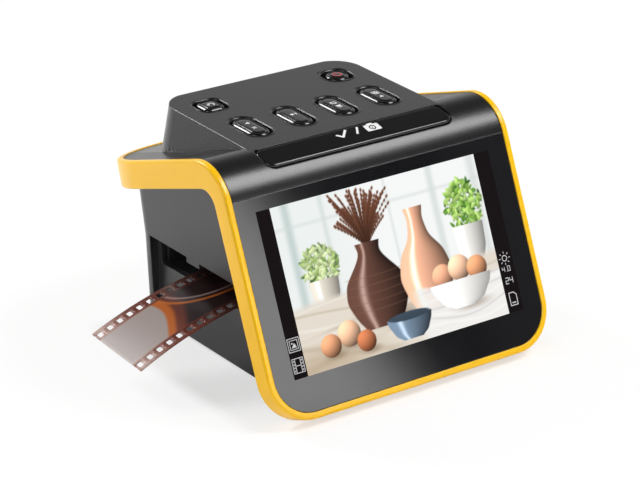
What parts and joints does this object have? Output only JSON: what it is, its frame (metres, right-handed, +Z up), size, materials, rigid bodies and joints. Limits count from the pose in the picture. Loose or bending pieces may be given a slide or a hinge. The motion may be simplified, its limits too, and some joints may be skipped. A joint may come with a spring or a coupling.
{
  "type": "film negative scanner",
  "caption": "Desktop scanner for film strips with a leaning screen, a bent key deck, a yellow edge band and a film strip in its side slot.",
  "frame": {"origin": "on the table under the middle of the housing", "axes": "+X to the right of someone facing the screen, along the film; +Y to the back; +Z up"},
  "size_m": [0.1563, 0.1396, 0.0944],
  "materials": {
    "yellow_gloss": "gloss",
    "grey_matte": "fine matte texture",
    "panel_glass": "high gloss clear front, backed in black",
    "display": "lit screen",
    "black_matte": "matte",
    "shell_satin": "satin",
    "key_gloss": "gloss",
    "foot_rubber": "matte",
    "switch_plastic": "plain",
    "board_green": "lacquered",
    "film": "glossy, amber",
    "white_plastic": "matte",
    "lens_glass": "clear",
    "socket_metal": "satin"
  },
  "bodies": {
    "scanner": {"trim_band": "yellow_gloss", "top_cover": "grey_matte", "front_glass": "panel_glass", "lcd_panel": "display", "front_frame": "black_matte", "wing_frame": "black_matte", "body_shell": "shell_satin", "base_plate": "black_matte", "rubber_foot_1": "foot_rubber", "rubber_foot_2": "foot_rubber", "rubber_foot_3": "foot_rubber", "rubber_foot_4": "foot_rubber", "key_board": "board_green", "key_switches": "switch_plastic", "film_track": "black_matte", "light_box": "white_plastic", "light_diffuser": "white_plastic", "lamp_board": "board_green", "camera_chassis": "black_matte", "lens_holder": "black_matte", "scan_lens": "lens_glass", "sensor_board": "board_green", "image_sensor": "black_matte", "main_board": "board_green", "processor": "black_matte", "power_socket": "socket_metal", "video_socket": "socket_metal", "card_socket": "socket_metal"},
    "ok_bar": {"ok_bar": "key_gloss"},
    "previous_key": {"previous_key": "key_gloss"},
    "next_key": {"next_key": "key_gloss"},
    "mode_key": {"mode_key": "key_gloss"},
    "gallery_key": {"gallery_key": "key_gloss"},
    "return_key": {"return_key": "key_gloss"},
    "power_key": {"power_key": "key_gloss"},
    "tray": {"tray_base": "black_matte", "tray_lid": "black_matte"},
    "film": {"film_strip": "film"}
  },
  "joints": [
    {"name": "previous_key_press", "type": "slide", "parent": "scanner", "child": "previous_key", "axis": [0, 0.0209, -0.9998], "range_m": [0, 0.0006], "stiffness_N_per_m": 300},
    {"name": "next_key_press", "type": "slide", "parent": "scanner", "child": "next_key", "axis": [0, 0.0209, -0.9998], "range_m": [0, 0.0006], "stiffness_N_per_m": 300},
    {"name": "mode_key_press", "type": "slide", "parent": "scanner", "child": "mode_key", "axis": [0, 0.0209, -0.9998], "range_m": [0, 0.0006], "stiffness_N_per_m": 300},
    {"name": "gallery_key_press", "type": "slide", "parent": "scanner", "child": "gallery_key", "axis": [0, 0.0209, -0.9998], "range_m": [0, 0.0006], "stiffness_N_per_m": 300},
    {"name": "return_key_press", "type": "slide", "parent": "scanner", "child": "return_key", "axis": [0, 0.0209, -0.9998], "range_m": [0, 0.0006], "stiffness_N_per_m": 300},
    {"name": "power_key_press", "type": "slide", "parent": "scanner", "child": "power_key", "axis": [0, 0.0209, -0.9998], "range_m": [0, 0.0006], "stiffness_N_per_m": 300},
    {"name": "ok_bar_press", "type": "slide", "parent": "scanner", "child": "ok_bar", "axis": [0, 0.2419, -0.9703], "range_m": [0, 0.0006], "stiffness_N_per_m": 400},
    {"name": "tray_slide", "type": "slide", "parent": "scanner", "child": "tray", "axis": [-1, 0, 0], "range_m": [0, 0.085]},
    {"name": "film_slide", "type": "slide", "parent": "tray", "child": "film", "axis": [-1, 0, 0], "range_m": [0, 0.038]}
  ]
}
